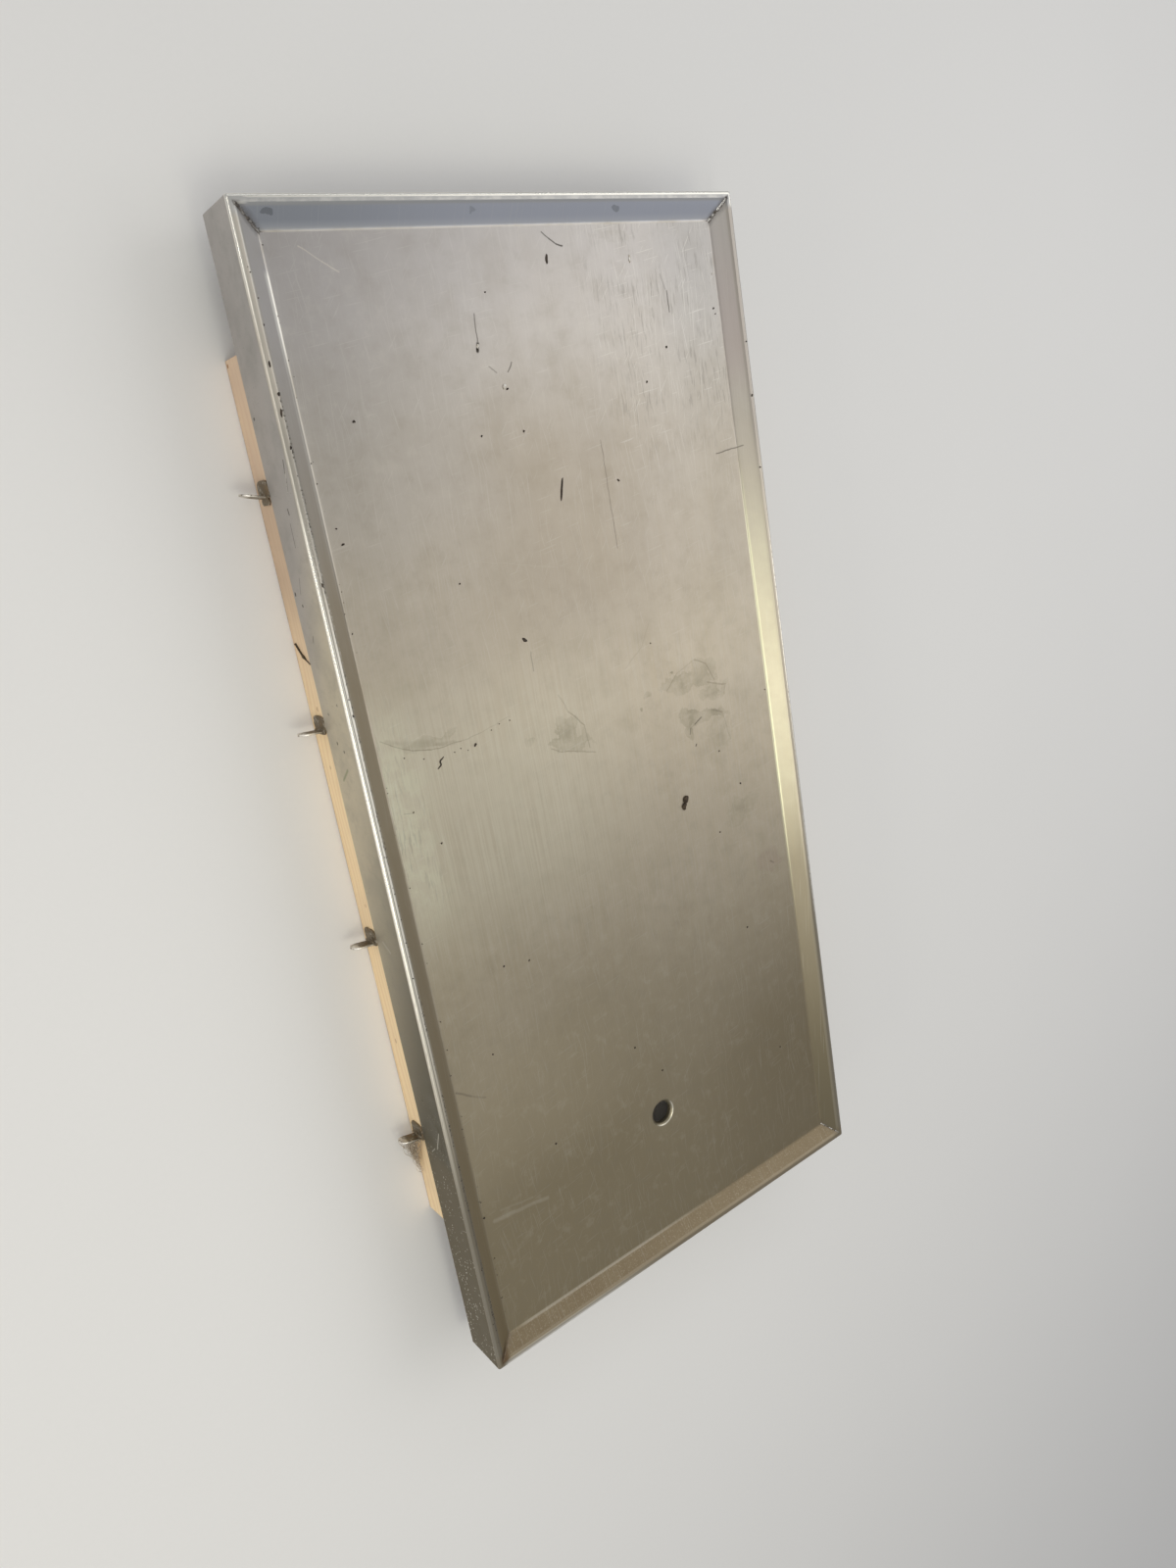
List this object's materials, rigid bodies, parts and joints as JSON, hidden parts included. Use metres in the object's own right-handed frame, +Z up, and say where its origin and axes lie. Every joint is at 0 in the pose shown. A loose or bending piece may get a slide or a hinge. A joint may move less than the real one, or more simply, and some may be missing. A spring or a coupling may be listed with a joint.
{
  "type": "stainless steel tray worktop",
  "caption": "Shallow folded steel tray with sloped sides, a flat rim, deep aprons and a drain hole, carried on timber battens with bent steel lugs.",
  "frame": {"origin": "on the floor, under the middle of the tray's width and length", "axes": "+X across the tray's width, +Y along its length away from the drain hole, +Z up out of the pan"},
  "size_m": [0.7602, 1.472, 0.1165],
  "materials": {
    "stainless_sheet": "brushed along its length, worn and dusty",
    "pine": "sawn pine, unfinished",
    "dark_steel": "dull, oxidised and dusty"
  },
  "bodies": {
    "root": {"steel_tray": "stainless_sheet", "left_batten": "pine", "right_batten": "pine", "left_lug_1": "dark_steel", "left_lug_2": "dark_steel", "left_lug_3": "dark_steel", "left_lug_4": "dark_steel", "right_lug_1": "dark_steel", "right_lug_2": "dark_steel", "right_lug_3": "dark_steel", "right_lug_4": "dark_steel"}
  },
  "joints": []
}
